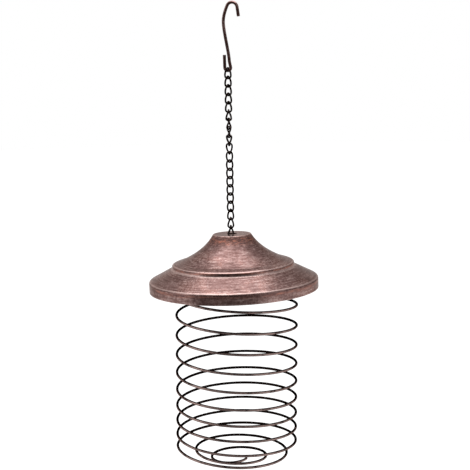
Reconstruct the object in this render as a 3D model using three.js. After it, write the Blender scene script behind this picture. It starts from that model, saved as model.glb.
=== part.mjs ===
// A hanging spring feeder for suet balls: a wire hook, a curb chain, a pressed roof with a hole in its top,
// a wire bail on the chain's last link, and a long wire coil whose foot winds in to make the floor.
// Millimetres, +Z up. The origin is where the crown of the hook rests on what it hangs from.
import * as THREE from 'three';

// Driving dimensions
const clearance = 0.3;

const hookWire = 3;
const crownRadius = 5.3;
const crownHeight = 58.9;
const crownReach = 5.3;
const crownArc = 155;
const tipLength = 8.9;
const tipLean = 8;
const bellyReach = 3.6;
const bellyHeight = 46;
const eyeRadius = 3;
const eyeLegHeight = 9;
const shortLegHeight = 15;
const shortLegLean = -0.2;
const longLegLean = 1.3;
const hookTurn = -20;

const linkCount = 20;
const linkWire = 1.8;
const linkWidth = 7.6;
const linkPitch = 8.04;
const linkTwist = 45;
const firstLinkTurn = 24;
const middleTurn = 152;
const middleTurnStarts = 4.8;
const middleTurnEnds = 11.3;
const footTurn = 60;
const footTurnStarts = 16;

const bailWire = 1.8;
const bailBend = 2.1;
const bailUnderTop = 0.1;
const bailEyeWrap = 255;

const coilWire = 2.6;
const coilRadius = 59.5;
const coilTopPitch = 23.6;
const coilFootPitch = 12.9;
const coilSideTurns = 10.79;
const coilFlatTurns = 0.67;
const coilEaseTurns = 0.26;
const coilStartAngle = 255;
const floorTurns = 2.4;
const floorStep = 18.5;
const floorDip = 13.5;
const floorWave = 2.2;
const floorWaveTurns = 1.5;
const floorWaveLag = 0.36;
const floorWaveEase = 0.3;
const floorOffset = 2.4;
const floorOffsetStarts = 1;
const floorOffsetEnds = 1.6;
const coilShift = 4.8;
const coilLean = 1.04;

const roofSheet = 0.6;
const roofHoleRadius = 5.2;
const roofTopRadius = 17.9;
const roofEdgeRadius = 19.1;
const roofEdgeDrop = 0.8;
const flareBendRadius = 28;
const flareBendDrop = 16;
const flareRadius = 52.3;
const flareDrop = 26.4;
const lipRadius = 59.9;
const lipDrop = 28.2;
const lipTurn = 1.2;
const creaseRadius = 60.1;
const creaseDrop = 32.2;
const roofRadius = 83.25;
const rimTopDrop = 44.3;
const rimCorner = 1.6;
const rimHeight = 10.2;
const roofLean = 1.1;
const roofTip = 0.7;
const roofShift = 0.9;

// How finely the curves are cut
const stepsPerTurn = 24;
const coilSides = 6;
const linkSteps = 20;
const linkSides = 6;
const hookSteps = 72;
const thickWireSides = 8;
const bailSteps = 84;
const roofSegments = 48;

const copper = { color: 0x7c5348, roughness: 0.5, metalness: 0.8 };
const darkWire = { color: 0x3a2724, roughness: 0.45, metalness: 0.8 };
const blackChain = { color: 0x241a18, roughness: 0.5, metalness: 0.8 };

const radians = THREE.MathUtils.degToRad;

function finish(values) {
  return new THREE.MeshStandardMaterial(values);
}

function named(name, geometry, material) {
  const mesh = new THREE.Mesh(geometry, material);
  mesh.name = name;
  return mesh;
}

// A line through points that are counted evenly, so that small turns get as many steps as large ones.
class CountedLine extends THREE.Curve {
  constructor(points, closed = false) {
    super();
    this.points = points;
    this.closed = closed;
  }

  at(index) {
    const count = this.points.length;
    const last = count - 1;
    return this.points[this.closed ? (index + count) % count : THREE.MathUtils.clamp(index, 0, last)];
  }

  getPoint(t, target = new THREE.Vector3()) {
    const place = t * (this.closed ? this.points.length : this.points.length - 1);
    const index = Math.floor(place + 1e-9);
    return target.copy(this.at(index)).lerp(this.at(index + 1), place - index);
  }

  getPointAt(u, target) {
    return this.getPoint(u, target);
  }

  getTangentAt(u, target = new THREE.Vector3()) {
    const index = Math.round(u * (this.closed ? this.points.length : this.points.length - 1));
    return target.subVectors(this.at(index + 1), this.at(index - 1)).normalize();
  }
}

// An open wire of round section, cut square at both ends.
function wire(points, diameter, sides) {
  const corner = (k) => {
    const angle = (2 * Math.PI * k) / sides;
    return new THREE.Vector2(Math.cos(angle), Math.sin(angle)).multiplyScalar(diameter / 2);
  };
  const section = new THREE.Shape(Array.from({ length: sides }, (_, k) => corner(k)));
  const extrudePath = new CountedLine(points);
  return new THREE.ExtrudeGeometry(section, { steps: points.length - 1, extrudePath, bevelEnabled: false });
}

// Points of a flat bent line, which is drawn as reach and height, standing in the plane of X and Z.
function standing(path, steps) {
  return path.getSpacedPoints(steps).map((point) => new THREE.Vector3(point.x, 0, point.y));
}

function between(value, from, to) {
  return THREE.MathUtils.clamp((value - from) / (to - from), 0, 1);
}

// Hanger hook: the tip, the open crown, the shank with its slight belly, and the narrow eye at the foot.
// It is drawn with its foot at reach 0 and height 0.
const hookTop = crownHeight + crownRadius;

function hookPath() {
  const arcStart = radians(tipLean);
  const arcEnd = radians(crownArc);
  const tipTop = new THREE.Vector2(Math.cos(arcStart), Math.sin(arcStart)).multiplyScalar(crownRadius);
  tipTop.add(new THREE.Vector2(crownReach, crownHeight));
  const shoulder = new THREE.Vector2(Math.cos(arcEnd), Math.sin(arcEnd)).multiplyScalar(crownRadius);
  shoulder.add(new THREE.Vector2(crownReach, crownHeight));
  const ease = (shoulder.y - bellyHeight) / 3;
  const path = new THREE.Path();
  path.moveTo(tipTop.x + Math.sin(arcStart) * tipLength, tipTop.y - Math.cos(arcStart) * tipLength);
  path.lineTo(tipTop.x, tipTop.y);
  path.absarc(crownReach, crownHeight, crownRadius, arcStart, arcEnd, false);
  path.bezierCurveTo(
    shoulder.x - Math.sin(arcEnd) * ease, shoulder.y + Math.cos(arcEnd) * ease,
    -bellyReach, bellyHeight + ease,
    -bellyReach, bellyHeight,
  );
  path.bezierCurveTo(
    -bellyReach, bellyHeight * 0.8,
    eyeRadius - longLegLean, bellyHeight * 0.35,
    eyeRadius - longLegLean, eyeLegHeight,
  );
  path.lineTo(eyeRadius, eyeRadius);
  path.absarc(0, eyeRadius, eyeRadius, 0, Math.PI, true);
  path.lineTo(-eyeRadius + shortLegLean, shortLegHeight);
  return path;
}

const hookFootHeight = hookWire / 2 - hookTop;
const chainAxis = new THREE.Vector3(-crownReach, 0, 0).applyAxisAngle(
  new THREE.Vector3(0, 0, 1), radians(hookTurn),
);
const hook = named('hanger_hook', wire(standing(hookPath(), hookSteps), hookWire, thickWireSides), finish(darkWire));
hook.position.set(chainAxis.x, chainAxis.y, hookFootHeight);
hook.rotation.z = radians(hookTurn);

// Chain: curb links, each one a long ring twisted about its length so that its ends cross its neighbours'.
const linkRadius = (linkWidth - linkWire) / 2;
const linkLength = linkPitch + linkWire + clearance;
const linkStraight = linkLength - 2 * linkRadius;
const firstLinkHeight = hookFootHeight + hookWire / 2 + clearance + linkWire / 2 - linkLength / 2;

function linkPoint(k) {
  const angle = (2 * Math.PI * k) / linkSteps;
  const side = THREE.MathUtils.clamp(Math.sin(angle) * 2.5, -1, 1);
  const height = linkRadius * Math.sin(angle) + (side * linkStraight) / 2;
  const turn = (radians(linkTwist) * height) / (linkLength / 2);
  const reach = linkRadius * Math.cos(angle);
  return new THREE.Vector3(reach * Math.cos(turn), reach * Math.sin(turn), height);
}

function linkGeometry() {
  const points = Array.from({ length: linkSteps }, (_, k) => linkPoint(k));
  return new THREE.TubeGeometry(new CountedLine(points, true), linkSteps, linkWire / 2, linkSides, true);
}

// The chain hangs with half a turn in its upper half and part of another at its foot.
function linkTurn(number) {
  return firstLinkTurn
    + middleTurn * between(number, middleTurnStarts, middleTurnEnds)
    + footTurn * between(number, footTurnStarts, linkCount);
}

const chain = new THREE.Group();
for (let number = 1; number <= linkCount; number += 1) {
  const name = `chain_link_${String(number).padStart(2, '0')}`;
  const link = named(name, linkGeometry(), finish(blackChain));
  link.position.z = firstLinkHeight - (number - 1) * linkPitch;
  link.rotation.z = radians(linkTurn(number));
  chain.add(link);
}
chain.position.set(chainAxis.x, chainAxis.y, 0);

// The bail's eyes close round the coil's top turn, on the chain's own line, and the roof's cone rests on them, so
// the rise of the bail follows from the roof: its bend ends just under the flat top. The roof sits a little tipped
// up at the front, so it is the back eye that carries it.
const coneSlope = (rimTopDrop - creaseDrop) / (roofRadius - creaseRadius);
const bailEyeRadius = coilWire / 2 + clearance + bailWire / 2;
const bailEyeReach = Math.sqrt(coilRadius ** 2 - coilShift ** 2);
const roofOverEye = (roofSheet + clearance + bailWire / 2 + bailEyeRadius) * Math.hypot(1, coneSlope);
const tipAtEye = (bailEyeReach + creaseDrop * coneSlope) * Math.sin(radians(roofTip));
const bailEyeDrop = creaseDrop + (bailEyeReach - creaseRadius) * coneSlope + roofOverEye + tipAtEye - bailUnderTop;

const lastLinkHeight = firstLinkHeight - (linkCount - 1) * linkPitch;
const bailHeight = lastLinkHeight - linkLength / 2 + linkWire / 2 + clearance + bailWire / 2;
const coilHeight = bailHeight - bailEyeDrop - coilShift * Math.sin(radians(coilLean));

// Coil: one wire. Its top turn lies flat, its side turns close up downwards, and its foot winds in and dips. The
// floor's turns are bent by hand, so they rise and fall a little and their middle lies off the coil's own.
function pitchAt(turn) {
  const ease = THREE.MathUtils.smoothstep(turn, coilFlatTurns, coilFlatTurns + coilEaseTurns);
  return ease * THREE.MathUtils.lerp(coilTopPitch, coilFootPitch, turn / coilSideTurns);
}

function coilPoints() {
  const points = [];
  const count = Math.round((coilSideTurns + floorTurns) * stepsPerTurn);
  let drop = 0;
  for (let k = 0; k <= count; k += 1) {
    const turn = k / stepsPerTurn;
    if (k > 0 && turn <= coilSideTurns) {
      drop += pitchAt(turn - 0.5 / stepsPerTurn) / stepsPerTurn;
    }
    const floorTurn = Math.max(0, turn - coilSideTurns);
    const radius = coilRadius - floorStep * floorTurn;
    const dip = floorDip * (1 - (radius / coilRadius) ** 2);
    const wave = floorWave * Math.cos((2 * Math.PI * (floorTurn - floorWaveLag)) / floorWaveTurns);
    const bent = wave * THREE.MathUtils.smoothstep(floorTurn, 0, floorWaveEase);
    const offset = floorOffset * THREE.MathUtils.smoothstep(floorTurn, floorOffsetStarts, floorOffsetEnds);
    const angle = radians(coilStartAngle) + 2 * Math.PI * turn;
    points.push(new THREE.Vector3(
      radius * Math.cos(angle) - offset, radius * Math.sin(angle), -drop - dip - bent,
    ));
  }
  return points;
}

// The least gap of the wire to itself, between points at least half a turn apart.
function leastGap(points, diameter) {
  let least = Infinity;
  points.forEach((point, first) => {
    for (let second = first + stepsPerTurn / 2; second < points.length; second += 1) {
      least = Math.min(least, point.distanceTo(points[second]));
    }
  });
  return least - diameter;
}

const coilLine = coilPoints();
console.log(`coil: least gap to itself ${leastGap(coilLine, coilWire).toFixed(2)} mm`);
const coil = named('coil', wire(coilLine, coilWire, coilSides), finish(darkWire));
coil.position.set(chainAxis.x + coilShift, chainAxis.y, coilHeight);
coil.rotation.y = radians(coilLean);

// Bail: a wide inverted V across the coil's top turn, from front to back, with each end bent into an eye round it.
function bailPath() {
  const bendCentre = new THREE.Vector2(0, -bailBend);
  const eye = new THREE.Vector2(bailEyeReach, -bailEyeDrop);
  const toEye = eye.clone().sub(bendCentre);
  const slope = toEye.angle() + Math.asin((bailBend + bailEyeRadius) / toEye.length());
  const bendEnd = slope + Math.PI / 2;
  const eyeStart = slope - Math.PI / 2;
  const wrap = radians(bailEyeWrap);
  const path = new THREE.Path();
  path.absarc(-eye.x, eye.y, bailEyeRadius, Math.PI - eyeStart - wrap, Math.PI - eyeStart, false);
  path.absarc(bendCentre.x, bendCentre.y, bailBend, Math.PI - bendEnd, bendEnd, true);
  path.absarc(eye.x, eye.y, bailEyeRadius, eyeStart, eyeStart + wrap, false);
  return path;
}

const bail = named('bail', wire(standing(bailPath(), bailSteps), bailWire, thickWireSides), finish(darkWire));
bail.position.set(chainAxis.x, chainAxis.y, bailHeight);
bail.rotation.z = Math.PI / 2;

// Roof: a pressed shell drawn by its outer face, from the hole outwards and down to the rim's edge.
function roofFace() {
  const path = new THREE.Path();
  path.moveTo(roofHoleRadius, 0);
  path.lineTo(roofTopRadius, 0);
  path.quadraticCurveTo(roofEdgeRadius - roofEdgeDrop / 2, 0, roofEdgeRadius, -roofEdgeDrop);
  path.quadraticCurveTo(flareBendRadius, -flareBendDrop, flareRadius, -flareDrop);
  path.quadraticCurveTo(lipRadius, -lipDrop, lipRadius, -lipDrop - lipTurn);
  path.lineTo(creaseRadius, -creaseDrop);
  path.lineTo(roofRadius - rimCorner, -rimTopDrop + rimCorner * coneSlope);
  path.quadraticCurveTo(roofRadius, -rimTopDrop, roofRadius, -rimTopDrop - rimCorner);
  path.lineTo(roofRadius, -rimTopDrop - rimHeight);
  return path.getPoints(5);
}

// The same face moved in by the sheet's thickness.
function insideOf(face) {
  return face.map((point, k) => {
    const before = face[Math.max(k - 1, 0)];
    const after = face[Math.min(k + 1, face.length - 1)];
    const along = new THREE.Vector2().subVectors(after, before).normalize();
    return new THREE.Vector2(point.x + along.y * roofSheet, point.y - along.x * roofSheet);
  });
}

function roofGeometry() {
  const face = roofFace();
  const profile = [...insideOf(face), ...face.slice().reverse()];
  profile.push(profile[0].clone());
  const geometry = new THREE.LatheGeometry(profile, roofSegments);
  geometry.rotateX(Math.PI / 2);
  return geometry;
}

const roof = named('roof', roofGeometry(), finish(copper));
roof.position.set(chainAxis.x + roofShift, chainAxis.y, bailHeight + bailUnderTop);
roof.rotation.set(-radians(roofTip), -radians(roofLean), 0);

const feeder = new THREE.Group();
feeder.add(hook, chain, roof, bail, coil);

export default feeder;
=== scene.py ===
"""Studio scene of a hanging suet feeder: a coil cage under a copper roof, on a curb chain and a hook."""

import logging
import math
from dataclasses import dataclass, field
from enum import Enum

import bmesh
import bpy
from bmesh.types import BMEdge, BMesh, BMVert
from bpy.types import ID, Material, Node, NodeOutputs, NodeSocket, NodeTree, Object
from mathutils import Matrix, Quaternion, Vector


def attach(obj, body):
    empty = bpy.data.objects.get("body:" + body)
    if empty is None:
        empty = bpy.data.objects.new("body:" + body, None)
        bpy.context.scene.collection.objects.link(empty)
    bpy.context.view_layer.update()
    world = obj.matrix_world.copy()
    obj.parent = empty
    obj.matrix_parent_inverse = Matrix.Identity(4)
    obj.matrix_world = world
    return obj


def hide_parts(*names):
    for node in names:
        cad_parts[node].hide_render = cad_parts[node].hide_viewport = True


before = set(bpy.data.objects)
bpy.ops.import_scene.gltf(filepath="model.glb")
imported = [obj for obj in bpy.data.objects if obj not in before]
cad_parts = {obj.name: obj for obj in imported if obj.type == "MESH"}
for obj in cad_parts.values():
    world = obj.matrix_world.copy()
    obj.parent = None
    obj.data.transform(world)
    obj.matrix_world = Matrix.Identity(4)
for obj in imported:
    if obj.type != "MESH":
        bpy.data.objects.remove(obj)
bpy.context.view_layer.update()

log = logging.getLogger("suet_feeder")

METRES = 0.001
CHAIN_X = -4.98037
CHAIN_Y = 1.81271
ROOF_SHIFT = 0.9
SHARP_TURN = 50.0

Point = Vector | tuple[float, float]
Colour = tuple[float, float, float, float]


class Slot(Enum):
    """Names of the material slots for the roof, the cage wires, the chain and the hook."""

    ROOF = "roof_sheet"
    CAGE = "cage_wire"
    CHAIN = "chain_wire"
    HOOK = "hook_wire"


class Mark(Enum):
    """The vertex attributes that the finishes read."""

    WORN_AND_HIGHLIGHT = "worn_and_highlight"
    PAINTED_SHADE_HOLLOW = "hollow"
    FACING_LIT_SIDE = "facing_lit_side"
    DRAWN = "drawn"


# Bent lines and swept wires


def kept(value: float, low: float = 0.0, high: float = 1.0) -> float:
    """Returns the value, kept between two limits."""
    return max(low, min(high, value))


def smooth(value: float, start: float, end: float) -> float:
    """Returns how far the value has come from start to end, eased at both, from 0 to 1."""
    t = kept((value - start) / (end - start))
    return t * t * (3 - 2 * t)


def on_ring(centre: Vector, radius: float, angle: float) -> Vector:
    """Returns the point of a flat ring at that angle, in degrees."""
    turned = math.radians(angle)
    return centre + Vector((math.cos(turned), math.sin(turned))) * radius


def by_chain(shift: float, height: float, **turns: float) -> Matrix:
    """Finds a place beside the chain's line.

    Args:
        shift: How far to the right of the chain, in millimetres.
        height: Its height in millimetres.
        turns: Turns in degrees about the axes that they are named for, in that order.

    Returns:
        The place and turn.
    """
    place = Matrix.Translation((CHAIN_X + shift, CHAIN_Y, height))
    for axis, turn in turns.items():
        place @= Matrix.Rotation(math.radians(turn), 4, axis)
    return place


@dataclass
class BentLine:
    """A flat line of straight stretches, arcs and eased bends, in millimetres, as reach and height."""

    start: Point
    step: float = 0.6
    points: list[Vector] = field(default_factory=list)

    def __post_init__(self) -> None:
        """Puts down the first point."""
        self.points.append(Vector(self.start))

    def straight(self, reach: float, height: float, parts: int = 0) -> None:
        """Draws a straight stretch.

        Args:
            reach: Reach of its end.
            height: Height of its end.
            parts: Number of parts, or 0 to count them from the step.
        """
        begin = self.points[-1].copy()
        end = Vector((reach, height))
        count = parts or max(1, round((end - begin).length / self.step))
        self.points.extend(begin.lerp(end, k / count) for k in range(1, count + 1))

    def arc(self, centre: Point, first: float, last: float) -> None:
        """Draws an arc from the present point.

        Args:
            centre: Reach and height of the arc's centre.
            first: Angle of its start, in degrees.
            last: Angle of its end, in degrees.
        """
        middle = Vector(centre)
        radius = (self.points[-1] - middle).length
        sweep = last - first
        count = max(4, round(math.radians(abs(sweep)) * radius / self.step), round(abs(sweep) / 12))
        for k in range(1, count + 1):
            self.points.append(on_ring(middle, radius, first + sweep * k / count))

    def bend(self, *controls: Point, parts: int = 0) -> None:
        """Draws an eased bend with one or two controls.

        Args:
            controls: The controls and then the end of the bend.
            parts: Number of parts, or 0 to count them from the step.
        """
        handles = [self.points[-1].copy(), *(Vector(c) for c in controls)]
        length = sum((b - a).length for a, b in zip(handles, handles[1:]))
        count = parts or max(4, round(length / self.step))
        degree = len(handles) - 1
        for k in range(1, count + 1):
            t = k / count
            weights = [math.comb(degree, i) * t**i * (1 - t) ** (degree - i) for i in range(degree + 1)]
            self.points.append(sum((h * w for h, w in zip(handles, weights)), Vector((0.0, 0.0))))

    def standing(self) -> list[Vector]:
        """Returns the line's points in the upright plane of X and Z."""
        return [Vector((p.x, 0.0, p.y)) for p in self.points]


@dataclass
class SweptWire:
    """A round wire along a run of points, grown by extruding its section one step at a time."""

    points: list[Vector]
    diameter: float
    sides: int = 14
    closed: bool = False
    axis: Vector | None = None
    girths: list[float] | None = None
    broken_edge: float = 0.1
    merge: float = 0.02

    def headings(self) -> list[Vector]:
        """Works out which way the wire runs.

        Returns:
            The wire's direction at each point.
        """
        count = len(self.points)
        headings = []
        for k in range(count):
            after = self.points[(k + 1) % count if self.closed else min(k + 1, count - 1)]
            before = self.points[(k - 1) % count if self.closed else max(k - 1, 0)]
            headings.append((after - before).normalized())
        return headings

    def stations(self) -> list[Matrix]:
        """Carries the section along the wire without a twist of its own.

        Returns:
            The section's place and turn at each point, with the first again at the end of a closed wire.
        """
        headings = self.headings()
        spare = Vector((0, 0, 1)) if abs(headings[0].z) < 0.8 else Vector((0, 1, 0))
        side = headings[0].cross(spare).normalized()
        sides = []
        for heading in headings:
            side = (side - heading * side.dot(heading)).normalized()
            sides.append(side)
        if self.closed:
            back = (side - headings[0] * side.dot(headings[0])).normalized()
            gap = math.atan2(headings[0].dot(back.cross(sides[0])), back.dot(sides[0]))
            count = len(headings)
            sides = [Quaternion(h, gap * k / count) @ s for k, (h, s) in enumerate(zip(headings, sides))]
        places = []
        for point, heading, side in zip(self.points, headings, sides):
            turned = Matrix((side, heading.cross(side), heading)).transposed().to_4x4()
            places.append(Matrix.Translation(point) @ turned)
        if self.closed:
            places.append(places[0].copy())
        return places

    def away(self, point: Vector) -> Vector:
        """Works out which way is outwards, the side that the wire finish paints lighter.

        Args:
            point: A point of the wire's middle line.

        Returns:
            The direction away from the coil's axis, or up where there is none.
        """
        if self.axis is None:
            return Vector((0, 0, 1))
        return Vector((point.x - self.axis.x, point.y - self.axis.y, 0)).normalized()

    def build(self) -> BMesh:
        """Grows the wire.

        Returns:
            The wire's mesh in millimetres, with its drawn attribute and one for how far it faces the side
            that is painted lighter.
        """
        bm = bmesh.new()
        facing_lit_side = bm.verts.layers.float.new(Mark.FACING_LIT_SIDE.value)
        drawn = bm.verts.layers.float_vector.new(Mark.DRAWN.value)
        places = self.stations()
        girths = self.girths or [1.0] * len(self.points)
        swells = [Matrix.Diagonal((girth, girth, 1, 1)) for girth in (*girths, girths[0])]
        ring = bmesh.ops.create_circle(
            bm, segments=self.sides, radius=self.diameter / 2, matrix=places[0] @ swells[0]
        )["verts"]
        edges = list(bm.edges)
        first_edges = list(edges)
        run = 0.0
        for k, place in enumerate(places):
            if k:
                grown = bmesh.ops.extrude_edge_only(bm, edges=edges)["geom"]
                ring = [g for g in grown if isinstance(g, BMVert)]
                fresh = set(ring)
                edges = [g for g in grown if isinstance(g, BMEdge) and fresh.issuperset(g.verts)]
                step = place @ swells[k] @ (places[k - 1] @ swells[k - 1]).inverted()
                bmesh.ops.transform(bm, matrix=step, verts=ring)
                run += (place.translation - places[k - 1].translation).length
            centre = place.translation
            away = self.away(centre)
            back = place.inverted()
            for vert in ring:
                vert[facing_lit_side] = (vert.co - centre).normalized().dot(away)
                local = back @ vert.co
                vert[drawn] = Vector((run, local.x, local.y)) * METRES
        if self.closed:
            bmesh.ops.remove_doubles(bm, verts=bm.verts, dist=self.merge)
        else:
            self.cut_ends(bm, first_edges, edges)
        bmesh.ops.recalc_face_normals(bm, faces=bm.faces)
        return bm

    def cut_ends(self, bm: BMesh, *rings: list[BMEdge]) -> None:
        """Closes both cut ends and breaks their sharp edges.

        Args:
            bm: The wire's mesh.
            rings: The edges round each cut end.
        """
        for ring in rings:
            bmesh.ops.edgeloop_fill(bm, edges=ring)
        bmesh.ops.bevel(
            bm,
            geom=[e for ring in rings for e in ring],
            offset=self.diameter * self.broken_edge,
            offset_type="OFFSET",
            segments=2,
            profile=0.5,
            affect="EDGES",
            material=-1,
            clamp_overlap=True,
        )


def stand(name: str, data: ID) -> Object:
    """Puts a new object into the scene.

    Args:
        name: Name of the object.
        data: Its mesh, lamp or camera.

    Returns:
        The object.
    """
    thing = bpy.data.objects.new(name, data)
    bpy.context.collection.objects.link(thing)
    return thing


def stand_shape(name: str, bm: BMesh, finishes: list[Material]) -> Object:
    """Makes an object of a mesh.

    Args:
        name: Name of the object.
        bm: Its mesh, which is freed.
        finishes: Its materials, in the order of the faces' numbers.

    Returns:
        The object.
    """
    mesh = bpy.data.meshes.new(name)
    bm.to_mesh(mesh)
    bm.free()
    for finish in finishes:
        mesh.materials.append(finish)
    return stand(name, mesh)


def stand_piece(
    name: str, bm: BMesh, place: Matrix, finishes: list[Material], body: str, node: str
) -> Object:
    """Turns a mesh in millimetres into a finished piece that stands for its node.

    Args:
        name: Name of the piece.
        bm: Its mesh.
        place: Its place and turn in millimetres.
        finishes: Its materials.
        body: The body that it rides on.
        node: The node that it stands for.

    Returns:
        The piece.
    """
    bmesh.ops.transform(bm, matrix=Matrix.Scale(METRES, 4) @ place, verts=bm.verts)
    for face in bm.faces:
        face.smooth = True
    piece = stand_shape(name, bm, finishes)
    piece.data.set_sharp_from_angle(angle=math.radians(SHARP_TURN))
    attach(piece, body)
    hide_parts(node)
    return piece


# Node work


@dataclass
class NodeSheet:
    """Lays out and joins the nodes of one material, group or world."""

    tree: NodeTree

    def add(self, kind: str, **settings: object) -> Node:
        """Adds a node.

        Args:
            kind: The kind of node.
            settings: Its settings by name.

        Returns:
            The node.
        """
        node = self.tree.nodes.new(kind)
        for key, value in settings.items():
            setattr(node, key, value)
        return node

    def feed(self, socket: NodeSocket, source: object) -> None:
        """Joins a socket to another one, or sets it to a plain value.

        Args:
            socket: The socket that is fed.
            source: The other socket, a plain value, or None to leave it.
        """
        if isinstance(source, NodeSocket):
            self.tree.links.new(source, socket)
        elif source is not None:
            socket.default_value = source

    def fill(self, node: Node, **sources: object) -> Node:
        """Feeds a node's inputs by name.

        Args:
            node: The node.
            sources: Sockets or values by name, where an underline stands for a space.

        Returns:
            The same node.
        """
        for key, source in sources.items():
            self.feed(node.inputs[key.replace("_", " ")], source)
        return node

    def line_up(self, node: Node, *sources: object) -> Node:
        """Feeds a node's inputs in their order.

        Args:
            node: The node.
            sources: Sockets or values, in the order of its inputs.

        Returns:
            The same node.
        """
        for socket, source in zip(node.inputs, sources):
            self.feed(socket, source)
        return node

    def sum(self, operation: str, a: object, b: object = None, clamp: bool = False) -> NodeSocket:
        """Works a Math node's operation on one or two numbers, kept between 0 and 1 where clamp is set."""
        return self.line_up(self.add("ShaderNodeMath", operation=operation, use_clamp=clamp), a, b).outputs[0]

    def times(self, a: object, b: object) -> NodeSocket:
        """Multiplies two sockets or numbers."""
        return self.sum("MULTIPLY", a, b)

    def weigh(self, *shares: tuple[object, float], start: object = 0.0) -> NodeSocket:
        """Adds up sockets, each at its share.

        Args:
            shares: Each socket and its share.
            start: What they are added to.

        Returns:
            The total's socket.
        """
        total = start
        for socket, share in shares:
            part = self.times(socket, share)
            total = part if total == 0.0 else self.sum("ADD", total, part)
        return total

    def vectors(self, kind: str, a: object, b: object = None) -> Node:
        """Works a Vector Math operation and returns the node, as some results are numbers."""
        return self.line_up(self.add("ShaderNodeVectorMath", operation=kind), a, b)

    def bump(self, surface: Node, height: object, strength: float, distance: float) -> None:
        """Gives the surface a fine relief, with a strength up to 1 and a depth in metres."""
        node = self.fill(self.add("ShaderNodeBump"), Strength=strength, Distance=distance, Height=height)
        self.fill(surface, Normal=node.outputs[0])

    def stretch(
        self, value: object, low: float, high: float, to_low: float = 0.0, to_high: float = 1.0
    ) -> NodeSocket:
        """Maps a value smoothly from the range of low and high to that of to_low and to_high."""
        node = self.add("ShaderNodeMapRange", interpolation_type="SMOOTHSTEP")
        return self.line_up(node, value, low, high, to_low, to_high).outputs[0]

    def blend(self, factor: object, a: object, b: object) -> NodeSocket:
        """Mixes two colours.

        Args:
            factor: Share of the second colour.
            a: First colour.
            b: Second colour.

        Returns:
            The mixed colour's socket.
        """
        node = self.add("ShaderNodeMix", data_type="RGBA")
        self.feed(node.inputs[0], factor)
        self.feed(node.inputs[6], a)
        self.feed(node.inputs[7], b)
        return node.outputs[2]

    def noise(self, **sources: object) -> NodeSocket:
        """Adds noise with its inputs fed by name, and returns its value, from 0 to 1."""
        return self.fill(self.add("ShaderNodeTexNoise"), **sources).outputs[0]

    def mark(self, mark: Mark, vector: bool = False) -> NodeSocket:
        """Reads a vertex attribute, as a number or as a vector."""
        node = self.add("ShaderNodeAttribute", attribute_name=mark.value)
        return node.outputs["Vector" if vector else "Fac"]

    def place(self, group: NodeTree, **sources: object) -> NodeOutputs:
        """Places a node group with its inputs fed by name, and returns its outputs."""
        return self.fill(self.add("ShaderNodeGroup", node_tree=group), **sources).outputs


def open_group(name: str, inputs: list[str], outputs: list[str]) -> tuple[NodeSheet, Node, Node]:
    """Starts a node group.

    Args:
        name: Name of the group.
        inputs: Names of its inputs. One named Vector is a vector, and the others are numbers.
        outputs: Names of its outputs, all numbers.

    Returns:
        The group's sheet, its input node and its output node.
    """
    tree = bpy.data.node_groups.new(name, "ShaderNodeTree")
    for way, keys in (("INPUT", inputs), ("OUTPUT", outputs)):
        for key in keys:
            kind = "NodeSocketVector" if key == "Vector" else "NodeSocketFloat"
            tree.interface.new_socket(name=key, in_out=way, socket_type=kind)
    sheet = NodeSheet(tree)
    return sheet, sheet.add("NodeGroupInput"), sheet.add("NodeGroupOutput")


@dataclass
class SharedEffects:
    """The effects that several finishes use, each made once."""

    patina: NodeTree = field(init=False)
    rub_and_highlight: NodeTree = field(init=False)
    brushing: NodeTree = field(init=False)

    def __post_init__(self) -> None:
        """Makes the three effects."""
        self.patina = self.make_patina()
        self.rub_and_highlight = self.make_rub_and_highlight()
        self.brushing = self.make_brushing()

    def make_patina(self) -> NodeTree:
        """Makes the cloudy dark patina with its fine leathery mottling.

        Returns:
            The group: Clouds and Mottle as masks, and Relief as a height.
        """
        sheet, given, result = open_group(
            "cloudy_patina", ["Vector", "Cloud Scale", "Mottle Scale"], ["Clouds", "Mottle", "Relief"]
        )
        vector, cloud_scale, mottle_scale = list(given.outputs)[:3]
        clouds = sheet.noise(Vector=vector, Scale=cloud_scale, Detail=4.0, Roughness=0.6, Distortion=0.6)
        grain = sheet.noise(Vector=vector, Scale=mottle_scale, Detail=3.0, Roughness=0.65, Distortion=0.4)
        cells = sheet.add("ShaderNodeTexVoronoi", feature="SMOOTH_F1")
        sheet.fill(cells, Vector=vector, Scale=mottle_scale)
        pebbles = sheet.stretch(cells.outputs["Distance"], 0.1, 0.75)
        mottle = sheet.weigh((grain, 0.65), (pebbles, 0.35))
        broad, fine = sheet.stretch(clouds, 0.33, 0.67), sheet.stretch(mottle, 0.3, 0.68)
        sheet.fill(result, Clouds=broad, Mottle=fine, Relief=mottle)
        return sheet.tree

    def make_rub_and_highlight(self) -> NodeTree:
        """Makes the wear along edges and the painted highlights on the roof's crease and the wires' lit
        sides, broken up by noise.

        Returns:
            The group, with Rubbed as a mask.
        """
        sheet, given, result = open_group("edge_rub_and_highlight", ["Vector", "Edge", "Scale"], ["Rubbed"])
        vector, edge, scale = list(given.outputs)[:3]
        breaks = sheet.noise(Vector=vector, Scale=scale, Detail=3.0, Roughness=0.6)
        loosened = sheet.sum("ADD", edge, sheet.sum("SUBTRACT", breaks, 0.5))
        sheet.fill(result, Rubbed=sheet.stretch(loosened, 0.25, 0.9))
        return sheet.tree

    def make_brushing(self) -> NodeTree:
        """Makes brush strokes that run along one way of a stretched vector.

        Returns:
            The group, with Strokes as a mask and Relief as a height.
        """
        sheet, given, result = open_group("brush_strokes", ["Vector", "Scale"], ["Strokes", "Relief"])
        vector, scale = list(given.outputs)[:2]
        broad = sheet.noise(Vector=vector, Scale=scale, Detail=2.0, Roughness=0.5)
        fine = sheet.noise(Vector=vector, Scale=sheet.times(scale, 3.7), Detail=2.0, Roughness=0.6)
        both = sheet.weigh((broad, 0.6), (fine, 0.4))
        sheet.fill(result, Strokes=sheet.stretch(both, 0.34, 0.66), Relief=both)
        return sheet.tree


# Finishes


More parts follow.
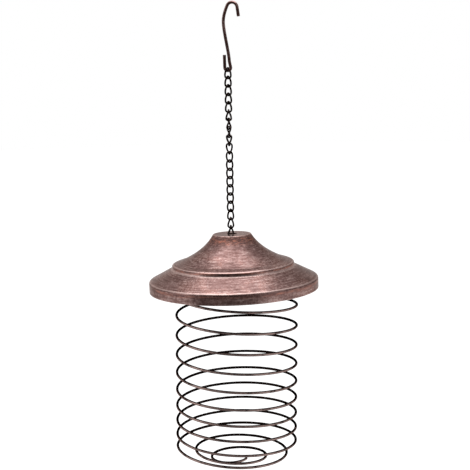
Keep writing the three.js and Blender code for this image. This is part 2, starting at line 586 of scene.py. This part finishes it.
def open_material(name: str) -> tuple[NodeSheet, Material, Node]:
    """Starts a material.

    Args:
        name: Name of the finish.

    Returns:
        The material's sheet, the material and its surface shader.
    """
    material = bpy.data.materials.new(name)
    material.use_nodes = True
    sheet = NodeSheet(material.node_tree)
    return sheet, material, material.node_tree.nodes["Principled BSDF"]


@dataclass(frozen=True)
class AntiquedCopper:
    """Brushed copper sheet under a dark brown patina, rubbed back along its edges, with painted highlights on
    its edges and crease, and painted shade and a painted warm reflection in its hollows.
    """

    effects: SharedEffects
    name: str = "antiqued_copper"
    # Colour of the rubbed edges and of the painted highlights along the edges and the crease.
    rubbed_and_highlight: Colour = (0.64, 0.475, 0.44, 1)
    bright: Colour = (0.43, 0.312, 0.292, 1)
    middle: Colour = (0.176, 0.100, 0.092, 1)
    dark: Colour = (0.062, 0.025, 0.021, 1)
    # Warm red of the random patina patches and of the painted warm reflection in the hollows.
    warm_patch_and_reflection: Colour = (0.36, 0.135, 0.090, 1)
    grazing: Colour = (0.56, 0.48, 0.45, 1)
    centre: tuple[float, float, float] = (CHAIN_X + ROOF_SHIFT, CHAIN_Y, 0.0)
    cloud_turn: float = 205.0
    cloud_scale: float = 38.0
    mottle_scale: float = 560.0
    stroke_scale: float = 560.0
    stroke_turn: float = 0.007
    stroke_slope: float = -0.8
    least_reach: float = 0.0005
    rub_scale: float = 240.0
    cloud_share: float = 0.16
    mottle_share: float = 0.27
    stroke_share: float = 0.54
    patch_share: float = 0.10
    # Strength of the rubbed edges and painted highlights.
    rub_and_highlight_share: float = 0.55
    # Strength of the painted shade in the hollows.
    painted_shade_share: float = 0.42
    # Strength of the painted warm reflection in the hollows.
    painted_warm_reflection_share: float = 0.95
    roughness: float = 0.30
    relief: float = 0.0004

    def turned_vector(self, sheet: NodeSheet, here: NodeSocket) -> NodeSocket:
        """Stretches places round the roof's axis, so that strokes run round it.

        Args:
            sheet: The material's sheet.
            here: The place, centred on the axis.

        Returns:
            The stretched vector's socket.
        """
        parts = sheet.line_up(sheet.add("ShaderNodeSeparateXYZ"), here)
        flat = sheet.vectors("MULTIPLY", here, (1.0, 1.0, 0.0))
        reach = sheet.vectors("LENGTH", flat.outputs[0]).outputs["Value"]
        safe = sheet.sum("MAXIMUM", reach, self.least_reach)
        turned = [
            sheet.times(sheet.sum("DIVIDE", parts.outputs[axis], safe), self.stroke_turn) for axis in (0, 1)
        ]
        slope = sheet.weigh((parts.outputs[2], self.stroke_slope), start=reach)
        return sheet.line_up(sheet.add("ShaderNodeCombineXYZ"), *turned, slope).outputs[0]

    def make(self) -> Material:
        """Makes the outer finish of the roof.

        Returns:
            The material.
        """
        sheet, material, surface = open_material(self.name)
        centred, clouded = (sheet.add("ShaderNodeMapping", vector_type="POINT") for _ in range(2))
        here = centred.outputs[0]
        away = tuple(-c * METRES for c in self.centre)
        sheet.fill(centred, Vector=sheet.add("ShaderNodeTexCoord").outputs["Object"], Location=away)
        sheet.fill(clouded, Vector=here, Rotation=(0.0, 0.0, math.radians(self.cloud_turn)))
        scales = {"Cloud_Scale": self.cloud_scale, "Mottle_Scale": self.mottle_scale}
        patina = sheet.place(self.effects.patina, Vector=clouded.outputs[0], **scales)
        turned = self.turned_vector(sheet, here)
        strokes = sheet.place(self.effects.brushing, Vector=turned, Scale=self.stroke_scale)
        # The worn mark paints the edges and the crease bright: partly rubbed wear, partly painted highlight.
        worn_and_highlight = sheet.mark(Mark.WORN_AND_HIGHLIGHT)
        rub_and_highlight = sheet.place(self.effects.rub_and_highlight, Vector=here, Edge=worn_and_highlight, Scale=self.rub_scale)
        tone = sheet.weigh(
            (patina["Clouds"], self.cloud_share),
            (patina["Mottle"], self.mottle_share),
            (strokes["Strokes"], self.stroke_share),
        )
        # The hollow mark paints shade into the hollows in the dark colour.
        hollow = sheet.mark(Mark.PAINTED_SHADE_HOLLOW)
        patches = sheet.stretch(patina["Clouds"], 0.35, 1.0)
        # Painted warm reflection in the hollows, broken up by the brush strokes.
        painted_warm_reflection = sheet.times(hollow, sheet.stretch(strokes["Strokes"], 0.35, 1.0))
        colour = sheet.blend(sheet.stretch(tone, -0.15, 0.65), self.dark, self.middle)
        colour = sheet.blend(sheet.stretch(tone, 0.45, 1.1), colour, self.bright)
        # Blends in the warm patina patches, the rubbed edges and painted highlights, the painted shade and
        # the painted warm reflection.
        for mask, share, over in (
            (patches, self.patch_share, self.warm_patch_and_reflection),
            (rub_and_highlight["Rubbed"], self.rub_and_highlight_share, self.rubbed_and_highlight),
            (hollow, self.painted_shade_share, self.dark),
            (painted_warm_reflection, self.painted_warm_reflection_share, self.warm_patch_and_reflection),
        ):
            colour = sheet.blend(sheet.times(mask, share), colour, over)
        rough = sheet.weigh((patina["Mottle"], 0.12), (patina["Clouds"], -0.06), start=self.roughness)
        sheet.fill(surface, Base_Color=colour, Roughness=rough, Metallic=1.0, Specular_Tint=self.grazing)
        sheet.fill(surface, Coat_Weight=0.2, Coat_Roughness=0.28)
        height = sheet.weigh((patina["Relief"], 0.7), (strokes["Relief"], 0.5))
        sheet.bump(surface, height, 0.25, self.relief)
        return material


@dataclass(frozen=True)
class BareHollow:
    """The unpolished inner face of the roof: dull brown copper, cloudy with heat."""

    effects: SharedEffects
    name: str = "dull_inner_copper"
    light: Colour = (0.22, 0.125, 0.105, 1)
    dark: Colour = (0.06, 0.030, 0.026, 1)
    roughness: float = 0.42
    relief: float = 0.0004

    def make(self) -> Material:
        """Makes the finish.

        Returns:
            The material.
        """
        sheet, material, surface = open_material(self.name)
        place = sheet.add("ShaderNodeTexCoord").outputs["Object"]
        patina = sheet.place(self.effects.patina, Vector=place, Cloud_Scale=40.0, Mottle_Scale=480.0)
        tone = sheet.weigh((patina["Clouds"], 0.6), (patina["Mottle"], 0.4))
        colour = sheet.blend(tone, self.dark, self.light)
        rough = sheet.weigh((patina["Mottle"], 0.15), start=self.roughness)
        sheet.fill(surface, Base_Color=colour, Roughness=rough, Metallic=0.9)
        sheet.bump(surface, patina["Relief"], 0.3, self.relief)
        return material


@dataclass(frozen=True)
class DarkWire:
    """Drawn wire under a near-black lacquer, painted lighter on its outer side round the coil and on its top
    side elsewhere: partly brushed back to copper, partly painted highlight.
    """

    effects: SharedEffects
    name: str
    dark: Colour = (0.013, 0.008, 0.007, 1)
    # Colour of the lighter side: brushed copper and painted highlight.
    brushed_and_highlight: Colour = (0.36, 0.256, 0.234, 1)
    low: float = 0.4
    high: float = 1.0
    amount: float = 1.0
    draw: tuple[float, float, float] = (0.06, 1.0, 1.0)
    line_scale: float = 2600.0
    rub_scale: float = 500.0
    roughness: float = 0.34
    relief: float = 0.00015
    grazing: Colour = (0.09, 0.072, 0.067, 1)

    def make(self) -> Material:
        """Makes the finish.

        Returns:
            The material.
        """
        sheet, material, surface = open_material(self.name)
        place = sheet.add("ShaderNodeTexCoord").outputs["Object"]
        drawn = sheet.vectors("MULTIPLY", sheet.mark(Mark.DRAWN, vector=True), self.draw)
        lines = sheet.place(self.effects.brushing, Vector=drawn.outputs[0], Scale=self.line_scale)
        patina = sheet.place(self.effects.patina, Vector=place, Cloud_Scale=70.0, Mottle_Scale=900.0)
        # The side facing out of the coil, and the top of the other wires, is painted lighter: brushed copper
        # and painted highlight.
        outer = sheet.stretch(sheet.mark(Mark.FACING_LIT_SIDE), self.low, self.high)
        edge = sheet.times(outer, sheet.weigh((patina["Clouds"], 0.6), start=0.55))
        rub_and_highlight = sheet.place(self.effects.rub_and_highlight, Vector=place, Edge=edge, Scale=self.rub_scale)
        share = sheet.times(rub_and_highlight["Rubbed"], sheet.weigh((lines["Strokes"], 0.4), start=0.6))
        share = sheet.sum("MULTIPLY", share, self.amount, clamp=True)
        colour = sheet.blend(share, self.dark, self.brushed_and_highlight)
        rough = sheet.weigh((patina["Mottle"], 0.14), start=self.roughness)
        sheet.fill(surface, Base_Color=colour, Roughness=rough, Metallic=1.0, Specular_Tint=self.grazing)
        sheet.bump(surface, lines["Relief"], 0.25, self.relief)
        return material


# The feeder's sub-assemblies


@dataclass
class HangerHook:
    """The bent wire that the feeder hangs from: an open crown above and a narrow eye at its foot."""

    finish: DarkWire
    wire: float = 3.0
    crown_radius: float = 5.3
    crown_height: float = 58.9
    crown_reach: float = 5.3
    crown_arc: float = 155.0
    tip_length: float = 8.9
    tip_lean: float = 8.0
    belly_reach: float = 3.6
    belly_height: float = 46.0
    eye_radius: float = 3.0
    eye_leg_height: float = 9.0
    short_leg_height: float = 15.0
    short_leg_lean: float = -0.2
    long_leg_lean: float = 1.3
    leg_ease: tuple[float, float] = (0.8, 0.35)
    turn: float = -20.0

    @property
    def foot_height(self) -> float:
        """Height of the eye's foot when the crown's underside is at zero."""
        return self.wire / 2 - self.crown_height - self.crown_radius

    def line(self) -> list[Vector]:
        """Draws the hook's middle line.

        Returns:
            Its points, in millimetres.
        """
        middle = Vector((self.crown_reach, self.crown_height))
        tip_top = on_ring(middle, self.crown_radius, self.tip_lean)
        shoulder = on_ring(middle, self.crown_radius, self.crown_arc)
        ease = (shoulder.y - self.belly_height) / 3
        eye, belly = self.eye_radius, self.belly_height
        bent = BentLine(on_ring(tip_top, self.tip_length, self.tip_lean - 90), step=0.7)
        bent.straight(*tip_top)
        bent.arc(middle, self.tip_lean, self.crown_arc)
        after = on_ring(shoulder, ease, self.crown_arc + 90)
        bent.bend(after, (-self.belly_reach, belly + ease), (-self.belly_reach, belly))
        leg = eye - self.long_leg_lean
        high, low = (share * belly for share in self.leg_ease)
        bent.bend((-self.belly_reach, high), (leg, low), (leg, self.eye_leg_height))
        bent.straight(eye, eye)
        bent.arc((0, eye), 0, -180)
        bent.straight(-eye + self.short_leg_lean, self.short_leg_height)
        return bent.standing()

    def build(self) -> Object:
        """Builds the hook.

        Returns:
            The piece.
        """
        place = by_chain(0.0, self.foot_height, Z=self.turn)
        mesh = SweptWire(self.line(), self.wire, sides=20).build()
        node = "hanger_hook"
        return stand_piece("hook_bent_wire", mesh, place, [self.finish.make()], node, node)


@dataclass
class CurbChain:
    """Twenty twisted links in a row, each crossing its neighbour's ends."""

    finish: DarkWire
    top_height: float = -65.07
    count: int = 20
    wire: float = 1.8
    width: float = 7.6
    pitch: float = 8.04
    clearance: float = 0.3
    side_stretch: float = 2.5
    twist: float = 45.0
    first_turn: float = 24.0
    middle_turn: float = 152.0
    middle_starts: float = 4.8
    middle_ends: float = 11.3
    foot_turn: float = 60.0
    foot_starts: float = 16.0
    steps: int = 60
    weld: float = 0.05
    weld_steps: float = 1.6

    @property
    def radius(self) -> float:
        """Radius of a link's rounded ends, to the middle of its wire."""
        return (self.width - self.wire) / 2

    @property
    def length(self) -> float:
        """Length of a link, to the middle of its wire."""
        return self.pitch + self.wire + self.clearance

    def line(self) -> list[Vector]:
        """Draws one link's middle line.

        Returns:
            Its points round the link, in millimetres.
        """
        straight = self.length - 2 * self.radius
        points = []
        for k in range(self.steps):
            angle = 2 * math.pi * k / self.steps
            side = kept(math.sin(angle) * self.side_stretch, -1.0)
            height = self.radius * math.sin(angle) + side * straight / 2
            turn = math.radians(self.twist) * height / (self.length / 2)
            reach = self.radius * math.cos(angle)
            points.append(Vector((reach * math.cos(turn), reach * math.sin(turn), height)))
        return points

    def turn(self, number: int) -> float:
        """Works out how far a link is turned about the chain.

        Args:
            number: Number of the link, from 1 at the top.

        Returns:
            Its turn in degrees.
        """
        middle = (number - self.middle_starts) / (self.middle_ends - self.middle_starts)
        foot = (number - self.foot_starts) / (self.count - self.foot_starts)
        return self.first_turn + self.middle_turn * kept(middle) + self.foot_turn * kept(foot)

    def build(self) -> list[Object]:
        """Builds the links.

        Returns:
            The pieces, from the top down.
        """
        finish = self.finish.make()
        line = self.line()
        girths = [1.0 + self.weld * math.exp(-((k / self.weld_steps) ** 2)) for k in range(self.steps)]
        pieces = []
        for number in range(1, self.count + 1):
            node = f"chain_link_{number:02d}"
            place = by_chain(0.0, self.top_height - (number - 1) * self.pitch, Z=self.turn(number))
            mesh = SweptWire(line, self.wire, sides=12, closed=True, girths=girths).build()
            name = f"curb_link_{number:02d}"
            pieces.append(stand_piece(name, mesh, place, [finish], node, node))
        return pieces


@dataclass
class CoilCage:
    """The cage: one long wire wound as a coil with a spiral floor, hung by a bail across its top turn."""

    coil_finish: DarkWire
    bail_finish: DarkWire
    roof: "PressedRoof"
    bail_height: float = -220.8
    wire: float = 2.6
    radius: float = 59.5
    top_pitch: float = 23.6
    foot_pitch: float = 12.9
    side_turns: float = 10.79
    flat_turns: float = 0.67
    ease_turns: float = 0.26
    start_angle: float = 255.0
    floor_turns: float = 2.4
    floor_step: float = 18.5
    floor_dip: float = 13.5
    floor_wave: float = 2.2
    floor_wave_turns: float = 1.5
    floor_wave_lag: float = 0.36
    floor_wave_ease: float = 0.3
    floor_offset: float = 2.4
    floor_offset_starts: float = 1.0
    floor_offset_ends: float = 1.6
    shift: float = 4.8
    lean: float = 1.04
    steps_per_turn: int = 72
    bail_wire: float = 1.8
    bail_bend: float = 2.1
    bail_eye_wrap: float = 255.0
    clearance: float = 0.3
    roof_overlap: float = 0.1

    @property
    def bail_drop(self) -> float:
        """Works out the bail's height so that the tipped roof rests on its back eye.

        Returns:
            The drop of the bail's eyes below its bend.
        """
        roof = self.roof
        wires = roof.sheet + self.clearance + self.bail_wire / 2 + self.eye_radius
        cone = roof.crease_drop + (self.eye_reach - roof.crease_radius) * roof.cone_slope
        tipped = (self.eye_reach + roof.crease_drop * roof.cone_slope) * math.sin(math.radians(roof.tip))
        return cone + wires * math.hypot(1, roof.cone_slope) + tipped - self.roof_overlap

    @property
    def eye_radius(self) -> float:
        """Radius of the bail's eyes, to the middle of its wire."""
        return self.wire / 2 + self.clearance + self.bail_wire / 2

    @property
    def eye_reach(self) -> float:
        """Reach of the bail's eyes from the chain's line to the coil's top turn."""
        return math.sqrt(self.radius**2 - self.shift**2)

    def pitch(self, turn: float) -> float:
        """Returns the coil's drop for a turn at that place along it."""
        ease = smooth(turn, self.flat_turns, self.flat_turns + self.ease_turns)
        return ease * (self.top_pitch + (self.foot_pitch - self.top_pitch) * turn / self.side_turns)

    def coil_line(self) -> list[Vector]:
        """Draws the coil's middle line: the level top turn, the side turns and the dished spiral floor.

        Returns:
            Its points, in millimetres.
        """
        count = round((self.side_turns + self.floor_turns) * self.steps_per_turn)
        points = []
        drop = 0.0
        for k in range(count + 1):
            turn = k / self.steps_per_turn
            if k and turn <= self.side_turns:
                drop += self.pitch(turn - 0.5 / self.steps_per_turn) / self.steps_per_turn
            inner = max(0.0, turn - self.side_turns)
            reach = self.radius - self.floor_step * inner
            dip = self.floor_dip * (1 - (reach / self.radius) ** 2)
            swing = (inner - self.floor_wave_lag) / self.floor_wave_turns
            bent = self.floor_wave * math.cos(2 * math.pi * swing) * smooth(inner, 0.0, self.floor_wave_ease)
            offset = self.floor_offset * smooth(inner, self.floor_offset_starts, self.floor_offset_ends)
            angle = math.radians(self.start_angle) + 2 * math.pi * turn
            across, along = reach * math.cos(angle) - offset, reach * math.sin(angle)
            points.append(Vector((across, along, -drop - dip - bent)))
        return points

    def bail_line(self) -> list[Vector]:
        """Draws the bail's middle line: an eye, a long leg, the bend, a long leg and an eye.

        Returns:
            Its points, in millimetres.
        """
        bend = Vector((0.0, -self.bail_bend))
        eye = Vector((self.eye_reach, -self.bail_drop))
        to_eye = eye - bend
        rise = math.degrees(math.atan2(to_eye.y, to_eye.x))
        slope = rise + math.degrees(math.asin((self.bail_bend + self.eye_radius) / to_eye.length))
        bend_end = slope + 90
        eye_start = slope - 90
        wrap = self.bail_eye_wrap
        left = Vector((-eye.x, eye.y))
        bent = BentLine(on_ring(left, self.eye_radius, 180 - eye_start - wrap), step=0.6)
        bent.arc(left, 180 - eye_start - wrap, 180 - eye_start)
        bent.straight(*on_ring(bend, self.bail_bend, 180 - bend_end))
        bent.arc(bend, 180 - bend_end, bend_end)
        bent.straight(*on_ring(eye, self.eye_radius, eye_start))
        bent.arc(eye, eye_start, eye_start + wrap)
        return bent.standing()

    def build(self) -> list[Object]:
        """Builds the coil and the bail.

        Returns:
            Both pieces.
        """
        ring_height = self.bail_height - self.bail_drop - self.shift * math.sin(math.radians(self.lean))
        place = by_chain(self.shift, ring_height, Y=self.lean)
        coil = SweptWire(self.coil_line(), self.wire, sides=14, axis=Vector((0, 0, 0))).build()
        finish = [self.coil_finish.make()]
        wound = stand_piece("coil_wound_wire", coil, place, finish, "cage", "coil")
        place = by_chain(0.0, self.bail_height, Z=90.0)
        bail = SweptWire(self.bail_line(), self.bail_wire, sides=14).build()
        finish = [self.bail_finish.make()]
        return [wound, stand_piece("bail_bent_wire", bail, place, finish, "cage", "bail")]


@dataclass
class PressedRoof:
    """The pressed round roof: a flat top with its hole, a hollow flare, a step, a cone and a deep rim."""

    outside: AntiquedCopper
    inside: BareHollow
    sheet: float = 0.6
    hole_radius: float = 5.2
    top_radius: float = 17.9
    edge_radius: float = 19.1
    edge_drop: float = 0.8
    flare_bend: tuple[float, float] = (28.0, 16.0)
    flare_radius: float = 52.3
    flare_drop: float = 26.4
    lip_radius: float = 59.9
    lip_drop: float = 28.2
    lip_turn: float = 1.2
    crease_radius: float = 60.1
    crease_drop: float = 32.2
    radius: float = 83.25
    rim_drop: float = 44.3
    rim_corner: float = 1.6
    rim_height: float = 10.2
    crease_ease: tuple[float, float] = (0.7, 0.9)
    foot_ease: tuple[float, float] = (1.2, 0.5)
    foot_turn: float = 0.05
    lean: float = 1.1
    tip: float = 0.7
    shift: float = ROOF_SHIFT
    height: float = -220.7
    segments: int = 192
    merge: float = 0.002
    inward: float = -0.05
    downward: float = -0.3

    @property
    def cone_slope(self) -> float:
        """Drop of the cone for each millimetre outwards."""
        return (self.rim_drop - self.crease_drop) / (self.radius - self.crease_radius)

    @property
    def rim_foot(self) -> float:
        """Height of the rim's lower edge."""
        return -self.rim_drop - self.rim_height

    def face_line(self) -> BentLine:
        """Draws the roof's outer face from the hole to the rim's edge.

        Returns:
            The line, as reach and height in millimetres.
        """
        out = Vector((1.0, -self.cone_slope)).normalized()
        crease = Vector((self.crease_radius, -self.crease_drop))
        lip_foot = Vector((self.lip_radius, -self.lip_drop - self.lip_turn))
        before, after = crease + Vector((0.0, self.crease_ease[0])), crease + out * self.crease_ease[1]
        foot, rim_top = self.rim_foot, -self.rim_drop
        line = BentLine((self.hole_radius, 0.0))
        line.straight(self.top_radius, 0.0, parts=10)
        line.bend((self.edge_radius - self.edge_drop / 2, 0.0), (self.edge_radius, -self.edge_drop), parts=5)
        line.bend((self.flare_bend[0], -self.flare_bend[1]), (self.flare_radius, -self.flare_drop), parts=36)
        line.bend((self.lip_radius, -self.lip_drop), lip_foot, parts=14)
        line.straight(*before, parts=2)
        line.bend(crease, after, parts=5)
        line.straight(self.radius - self.rim_corner, rim_top + self.rim_corner * self.cone_slope, parts=14)
        line.bend((self.radius, rim_top), (self.radius, rim_top - self.rim_corner), parts=8)
        line.straight(self.radius, foot + self.foot_ease[0], parts=5)
        line.bend((self.radius, foot + self.foot_ease[1]), (self.radius - self.foot_turn, foot), parts=3)
        return line

    def mark_wear_and_painted_light(self, bm: BMesh) -> None:
        """Marks the edges and the crease that are painted bright, partly as rubbed wear and partly as painted
        highlights, and the hollows that get painted shade and a painted warm reflection.

        Each row gives a ring's reach and height, how far the mark fades, and its strength.

        Args:
            bm: The roof's mesh, in its own frame in millimetres.
        """
        worn_and_highlight = bm.verts.layers.float.new(Mark.WORN_AND_HIGHLIGHT.value)
        hollow = bm.verts.layers.float.new(Mark.PAINTED_SHADE_HOLLOW.value)
        # Rings painted bright: rubbed wear on the edges, and painted highlights on the lip, the crease and a
        # band round the rim's middle.
        rubbed_and_highlight = (
            ((self.top_radius + 0.4, -0.1), 1.1, 0.9),
            ((self.lip_radius - 1.0, -self.lip_drop - 0.1), 1.1, 1.0),
            ((self.crease_radius + 0.6, -self.crease_drop + 0.2), 1.7, 0.9),
            ((self.radius - 1.1, -self.rim_drop + 0.2), 1.0, 1.0),
            ((self.radius, self.rim_foot), 1.3, 0.6),
            ((self.radius, -self.rim_drop - 6.0), 3.6, 0.40),
            ((self.hole_radius, 0.0), 0.8, 0.7),
        )
        # Rings of painted shade: under the top's edge, in the step above the crease and under the rim's top
        # corner.
        painted_shade_rings = (
            ((self.edge_radius + 2.6, -4.4), 4.4, 1.0),
            ((self.crease_radius - 0.2, -self.lip_drop - 1.6), 1.2, 0.8),
            ((self.radius, -self.rim_drop - 2.6), 1.3, 0.8),
        )
        for vert in bm.verts:
            spot = Vector((math.hypot(vert.co.x, vert.co.y), vert.co.z))
            for layer, rings in ((worn_and_highlight, rubbed_and_highlight), (hollow, painted_shade_rings)):
                vert[layer] = max(
                    amount * math.exp(-(((spot - Vector(ring)).length / width) ** 2))
                    for ring, width, amount in rings
                )

    def build(self) -> Object:
        """Builds the roof: its line is spun and thickened inwards.

        Returns:
            The piece.
        """
        bm = bmesh.new()
        points = [bm.verts.new(p) for p in self.face_line().standing()]
        edges = [bm.edges.new(pair) for pair in zip(points, points[1:])]
        bmesh.ops.spin(
            bm,
            geom=[*points, *edges],
            cent=(0, 0, 0),
            axis=(0, 0, 1),
            angle=2 * math.pi,
            steps=self.segments,
            use_merge=True,
        )
        bmesh.ops.remove_doubles(bm, verts=bm.verts, dist=self.merge)
        bmesh.ops.recalc_face_normals(bm, faces=bm.faces)
        if sum(f.normal.z * f.calc_area() for f in bm.faces) < 0:
            bmesh.ops.reverse_faces(bm, faces=bm.faces)
        bmesh.ops.solidify(bm, geom=list(bm.faces), thickness=self.sheet)
        self.mark_wear_and_painted_light(bm)
        self.paint_inside(bm)
        place = by_chain(self.shift, self.height, X=-self.tip, Y=-self.lean)
        finishes = [self.outside.make(), self.inside.make()]
        return stand_piece("roof_pressed_sheet", bm, place, finishes, "roof", "roof")

    def paint_inside(self, bm: BMesh) -> None:
        """Gives the outer finish to all faces but those that look in, past the hole's edge, or down.

        Args:
            bm: The roof's mesh, in its own frame in millimetres.
        """
        for face in bm.faces:
            middle = face.calc_center_median()
            reach = Vector((middle.x, middle.y, 0))
            past_hole = reach.length > self.hole_radius + self.sheet / 2
            inward = past_hole and face.normal.dot(reach.normalized()) < self.inward
            face.material_index = int(inward or face.normal.z < self.downward)


# The studio


@dataclass(frozen=True)
class Softbox:
    """A soft rectangular lamp that faces the feeder. Its level is its face's brightness, where 1 is white."""

    name: str
    place: tuple[float, float, float]
    size: tuple[float, float]
    level: float

    def hang(self, target: Vector) -> None:
        """Hangs the lamp.

        Args:
            target: The point that it faces, in metres.
        """
        data = bpy.data.lights.new(self.name, "AREA")
        data.shape = "RECTANGLE"
        data.size, data.size_y = self.size
        data.energy = self.level * math.pi * data.size * data.size_y
        turn = (target - Vector(self.place)).to_track_quat("-Z", "Y").to_matrix().to_4x4()
        stand(self.name, data).matrix_world = Matrix.Translation(self.place) @ turn


@dataclass
class Studio:
    """A white studio: floor, surround, soft lamps and the camera.

    Walls, ceiling, backdrop and dark fade each give a range of the direction and the light at its two ends.
    """

    eye: tuple[float, float, float] = (-1.080, -1096.901, -44.414)
    target: tuple[float, float, float] = (-1.080, 1.813, -222.17)
    roll: float = -1.09
    focal: float = 1136.0
    image: int = 470
    sensor: float = 36.0
    floor_height: float = -0.62
    floor_radius: float = 6.0
    floor_level: float = 0.95
    lamp_target: tuple[float, float, float] = (0.0, 0.0, -0.27)
    plain_level: float = 0.55
    dark_way: tuple[float, float, float] = (-0.22, -0.975, 0.0)
    dark_fade: tuple[float, float, float, float] = (0.38, 0.92, 1.0, 0.13)
    walls: tuple[float, float, float, float] = (-0.9, 0.9, 0.84, 0.5)
    ceiling: tuple[float, float, float, float] = (0.5, 0.97, 0.0, 0.7)
    backdrop: tuple[float, float, float, float] = (0.72, 0.97, 0.0, 0.3)
    softboxes: tuple[Softbox, ...] = (
        Softbox("overhead_softbox", (-0.07, 0.20, 0.75), (0.85, 0.8), 2.6),
        Softbox("left_softbox", (-1.3, -0.35, 0.1), (0.5, 1.0), 1.5),
        Softbox("right_softbox", (1.2, -0.7, 0.1), (0.5, 1.0), 0.8),
    )

    def camera(self) -> None:
        """Sets up the camera at the photograph's angle."""
        eye, target = Vector(self.eye) * METRES, Vector(self.target) * METRES
        forward = (target - eye).normalized()
        right = forward.cross(Vector((0, 0, 1))).normalized()
        up = right.cross(forward)
        roll = math.radians(self.roll)
        tilted = right * math.cos(roll) + up * math.sin(roll)
        raised = up * math.cos(roll) - right * math.sin(roll)
        data = bpy.data.cameras.new("studio_camera")
        data.sensor_width = self.sensor
        data.lens = self.focal * self.sensor / self.image
        data.clip_end = 30.0
        camera = stand("studio_camera", data)
        turned = Matrix((tilted, raised, -forward)).transposed().to_4x4()
        camera.matrix_world = Matrix.Translation(eye) @ turned
        bpy.context.scene.camera = camera

    def surround(self) -> None:
        """Makes the white surround, dimmer on the camera's side as a studio's dark end is."""
        world = bpy.data.worlds.new("studio_surround")
        world.use_nodes = True
        bpy.context.scene.world = world
        sheet = NodeSheet(world.node_tree)
        light = sheet.add("ShaderNodeLightPath")
        direction = sheet.add("ShaderNodeTexCoord").outputs["Generated"]
        way = sheet.line_up(sheet.add("ShaderNodeSeparateXYZ"), direction)
        walls = sheet.stretch(way.outputs[0], *self.walls)
        ceiling = sheet.stretch(way.outputs[2], *self.ceiling)
        backdrop = sheet.stretch(way.outputs[1], *self.backdrop)
        shade = sheet.sum("ADD", walls, sheet.sum("ADD", ceiling, backdrop))
        shade = sheet.times(shade, self.dark_end(sheet, direction))
        level = self.plain_level
        for rays, seen in ((self.mirrored(sheet, light), shade), (light.outputs["Is Camera Ray"], 1.0)):
            level = sheet.sum("ADD", level, sheet.times(rays, sheet.sum("SUBTRACT", seen, level)))
        sheet.fill(world.node_tree.nodes["Background"], Color=(1, 1, 1, 1), Strength=level)

    def mirrored(self, sheet: NodeSheet, light: Node) -> NodeSocket:
        """Returns the rays that a shiny or clear surface sends on."""
        return sheet.sum("MAXIMUM", light.outputs["Is Glossy Ray"], light.outputs["Is Transmission Ray"])

    def dark_end(self, sheet: NodeSheet, direction: NodeSocket) -> NodeSocket:
        """Returns the share of light that comes from that direction, with the studio's near end dark."""
        facing = sheet.vectors("DOT_PRODUCT", direction, self.dark_way)
        return sheet.stretch(facing.outputs["Value"], *self.dark_fade)

    def floor(self) -> None:
        """Lays the plain pale floor below the hanging feeder."""
        sheet, material, surface = open_material("pale_floor")
        light = sheet.add("ShaderNodeLightPath")
        flat = sheet.vectors("MULTIPLY", sheet.add("ShaderNodeTexCoord").outputs["Object"], (1.0, 1.0, 0.0))
        outwards = sheet.vectors("NORMALIZE", flat.outputs[0])
        mirrored = sheet.times(self.mirrored(sheet, light), self.dark_end(sheet, outwards.outputs[0]))
        seen = sheet.sum("MAXIMUM", light.outputs["Is Camera Ray"], mirrored)
        level = sheet.times(seen, self.floor_level)
        sheet.fill(surface, Base_Color=(0.35, 0.35, 0.35, 1), Roughness=0.9, Specular_IOR_Level=0.0)
        sheet.fill(surface, Emission_Color=(1, 1, 1, 1), Emission_Strength=level)
        clear = sheet.add("ShaderNodeBsdfTransparent")
        back = sheet.add("ShaderNodeNewGeometry").outputs["Backfacing"]
        sides = sheet.line_up(sheet.add("ShaderNodeMixShader"), back, surface.outputs[0], clear.outputs[0])
        sheet.fill(material.node_tree.nodes["Material Output"], Surface=sides.outputs[0])
        bm = bmesh.new()
        place = Matrix.Translation((0, 0, self.floor_height))
        bmesh.ops.create_circle(bm, cap_ends=True, segments=96, radius=self.floor_radius, matrix=place)
        stand_shape("pale_floor", bm, [material])

    def build(self) -> None:
        """Sets up the camera, the surround, the floor and the lamps."""
        bpy.context.scene.view_settings.view_transform = "Standard"
        self.camera()
        self.surround()
        self.floor()
        for softbox in self.softboxes:
            softbox.hang(Vector(self.lamp_target))


def main() -> None:
    """Builds the feeder from the hook down, then the studio round it, and logs the pieces' names."""
    logging.basicConfig(level=logging.INFO, format="%(message)s")
    effects = SharedEffects()
    # The hook is painted lighter on its top side: painted light from above, partly brushed copper.
    hook_finish = DarkWire(
        effects,
        "reddish_brown_hook_wire",
        dark=(0.055, 0.026, 0.022, 1),
        brushed_and_highlight=(0.55, 0.36, 0.34, 1),
        low=-0.7,
        amount=0.95,
    )
    # The chain links are painted lighter on their top side: painted light from above, partly brushed copper.
    chain_finish = DarkWire(
        effects,
        "black_brown_chain_wire",
        dark=(0.016, 0.010, 0.009, 1),
        brushed_and_highlight=(0.16, 0.115, 0.105, 1),
        low=0.0,
        high=1.1,
        amount=0.8,
    )
    # The coil is painted lighter on its outer side: painted highlight, partly brushed copper; its inner side
    # keeps the dark lacquer.
    coil_finish = DarkWire(effects, "dark_coil_wire_brushed_and_highlit")
    # The bail is painted lighter on its top side: painted light from above, partly brushed copper.
    bail_finish = DarkWire(
        effects,
        "dark_bail_wire",
        dark=(0.018, 0.011, 0.010, 1),
        brushed_and_highlight=(0.12, 0.08, 0.072, 1),
        low=0.2,
        high=1.1,
        amount=0.6,
    )
    roof = PressedRoof(AntiquedCopper(effects), BareHollow(effects))
    pieces = [HangerHook(hook_finish).build()]
    pieces += CurbChain(chain_finish).build()
    pieces += CoilCage(coil_finish, bail_finish, roof).build()
    pieces.append(roof.build())
    for piece in pieces:
        log.info("piece %s", piece.name)
    Studio().build()


if __name__ == "__main__":
    main()
